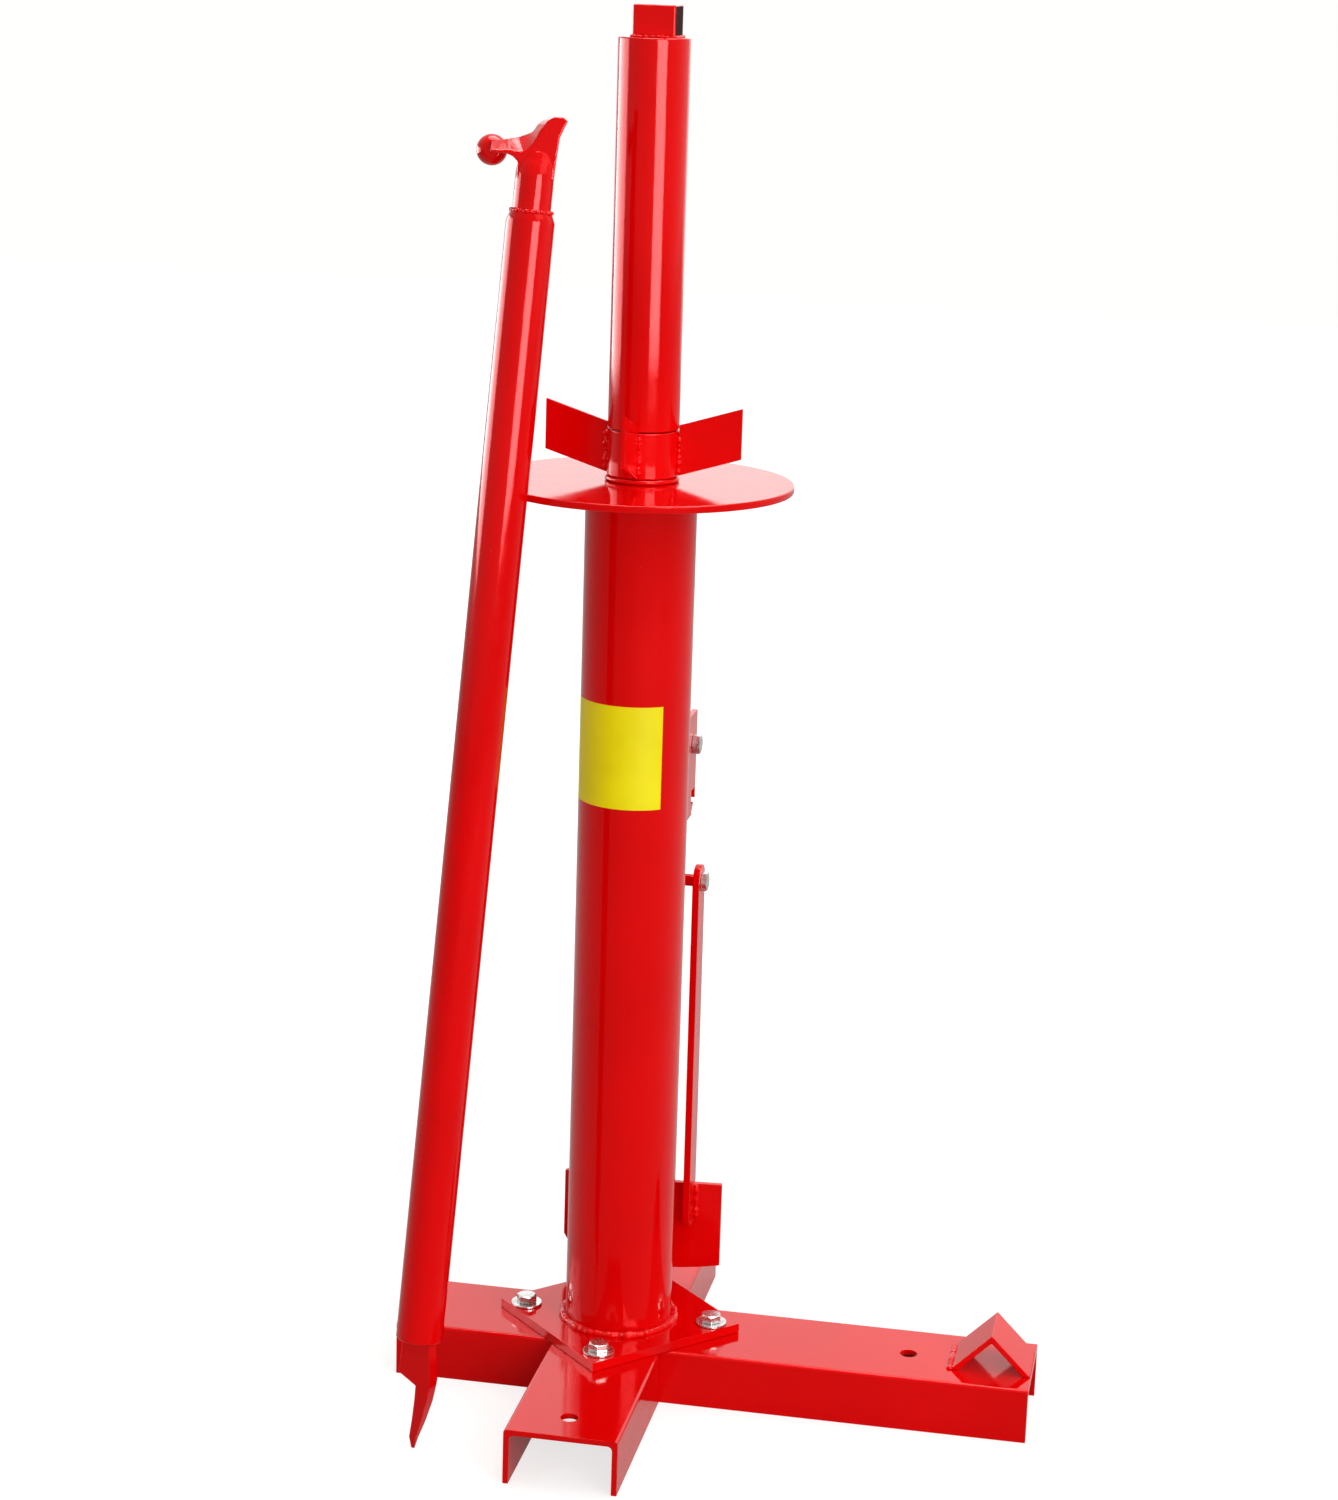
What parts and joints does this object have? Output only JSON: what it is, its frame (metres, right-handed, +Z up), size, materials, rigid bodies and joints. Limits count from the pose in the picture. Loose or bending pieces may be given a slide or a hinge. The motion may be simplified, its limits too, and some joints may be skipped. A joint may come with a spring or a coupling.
{
  "type": "portable manual tyre changer",
  "caption": "Bolt-down tyre changer stand: cross base, round column with wheel rest disc, winged screw-down clamp hub, upper post, bead breaker and leaning lever bar.",
  "frame": {"origin": "centre of the overall footprint on the floor; the column axis is 72.6 mm to the -X side of it", "axes": "+Z up along the column; +X along the long base member towards its wheel stop; -Y is the front, where the short leg and the lever bar are"},
  "size_m": [0.4532, 0.378, 0.9675],
  "materials": {
    "red_enamel": "glossy red enamel",
    "zinc_plate": "bright zinc plate",
    "oiled_steel": "oiled dark steel"
  },
  "bodies": {
    "stand": {"base_bolt_front": "zinc_plate", "base_bolt_left": "zinc_plate", "base_bolt_rear": "zinc_plate", "base_bolt_right": "zinc_plate", "base_nut_front": "zinc_plate", "base_nut_left": "zinc_plate", "base_nut_rear": "zinc_plate", "base_nut_right": "zinc_plate", "base_plate": "red_enamel", "base_washer_front": "zinc_plate", "base_washer_left": "zinc_plate", "base_washer_rear": "zinc_plate", "base_washer_right": "zinc_plate", "bracket_bolt": "zinc_plate", "bracket_nut": "zinc_plate", "column_tube": "red_enamel", "front_leg_channel": "red_enamel", "lever_bracket": "red_enamel", "long_base_channel": "red_enamel", "rear_leg_channel": "red_enamel", "spindle_plug": "red_enamel", "threaded_spindle": "oiled_steel", "wheel_rest_disc": "red_enamel", "wheel_stop_angle": "red_enamel"},
    "clamp_hub": {"hub_collar": "red_enamel", "hub_vane_1": "red_enamel", "hub_vane_2": "red_enamel", "hub_vane_3": "red_enamel", "hub_vane_4": "red_enamel", "hub_washer": "red_enamel"},
    "upper_post": {"post_cap": "red_enamel", "post_tenon": "red_enamel", "post_thread_insert": "oiled_steel", "upper_post_tube": "red_enamel"},
    "lever_socket": {"lever_socket": "red_enamel", "arm_bolt": "zinc_plate", "arm_nut": "zinc_plate", "bracket_spacer_left": "zinc_plate", "bracket_spacer_right": "zinc_plate"},
    "breaker_arm": {"breaker_arm_left": "red_enamel", "breaker_arm_right": "red_enamel", "breaker_shoe": "red_enamel"},
    "lever_bar": {"bar_blade": "red_enamel", "bar_head": "red_enamel", "bar_knob": "red_enamel", "bar_tube": "red_enamel"}
  },
  "joints": [
    {"name": "hub_slide", "type": "slide", "parent": "stand", "child": "clamp_hub", "axis": [0, 0, 1], "range_m": [0, 0.04]},
    {"name": "post_screw", "type": "hinge", "parent": "clamp_hub", "child": "upper_post", "pos_m": [-0.0726, 0, 0.8], "axis": [0, 0, 1], "range_deg": [0, 3600]},
    {"name": "socket_swing", "type": "hinge", "parent": "stand", "child": "lever_socket", "pos_m": [-0.0726, 0.0635, 0.457], "axis": [1, 0, 0], "range_deg": [0, 75]},
    {"name": "arm_hang", "type": "hinge", "parent": "lever_socket", "child": "breaker_arm", "pos_m": [-0.0726, 0.0635, 0.3565], "axis": [1, 0, 0], "range_deg": [-75, 0]},
    {"name": "bar_lean", "type": "hinge", "parent": "stand", "child": "lever_bar", "pos_m": [-0.18525, -0.15166, 0], "axis": [0.8271, -0.5621, 0], "range_deg": [0, 6.26]}
  ],
  "couplings": [
    {"joint": "hub_slide", "follows": "post_screw", "m_per_rad": 0.0006366},
    {"joint": "arm_hang", "follows": "socket_swing", "ratio": -1}
  ]
}
